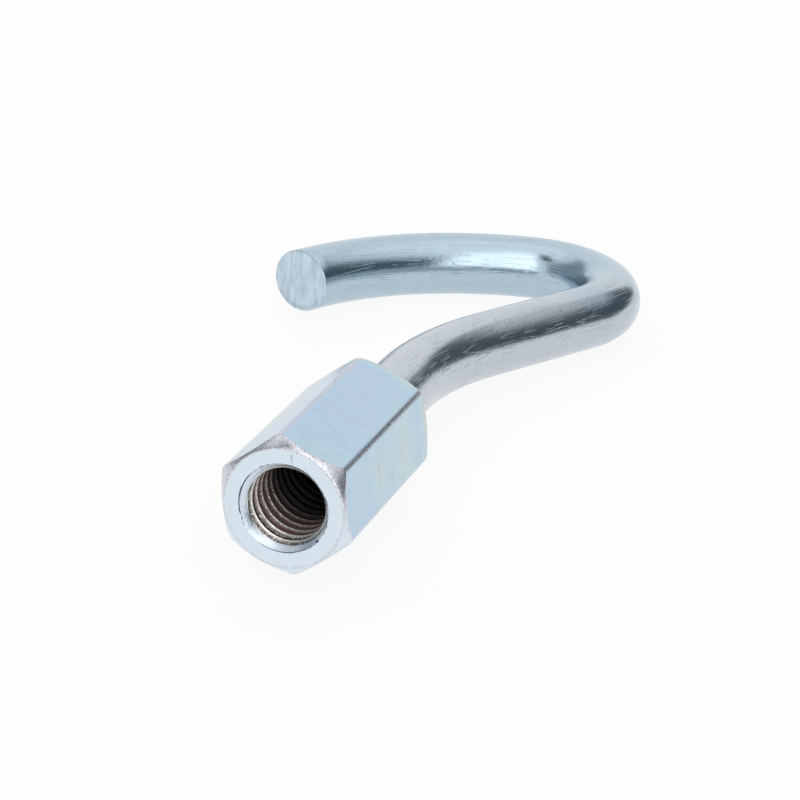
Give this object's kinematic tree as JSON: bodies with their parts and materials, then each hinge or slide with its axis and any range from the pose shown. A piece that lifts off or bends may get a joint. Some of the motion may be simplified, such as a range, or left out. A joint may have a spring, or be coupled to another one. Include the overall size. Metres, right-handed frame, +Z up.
{
  "type": "hook bolt with female hexagon end",
  "caption": "Round steel bar bent into an open question-mark hook, its plain end set into a long hexagon nut with a female thread, lying as it rests.",
  "frame": {"origin": "middle of the base of the bounding box, on the surface the part lies on", "axes": "+Z up from the surface it lies on; +Y from the nut's mouth towards the loop of the hook, pitched down 3.6 degrees as it rests; +X to the side the bar first bends to"},
  "size_m": [0.0458, 0.0944, 0.0176],
  "materials": {
    "zinc_nut": "bright zinc plate with a pale blue passivate, worn at the corners",
    "zinc_bar": "satin zinc plate over drawn bar, scuffed"
  },
  "bodies": {
    "root": {"coupling_nut": "zinc_nut", "hook_bar": "zinc_bar"}
  },
  "joints": []
}
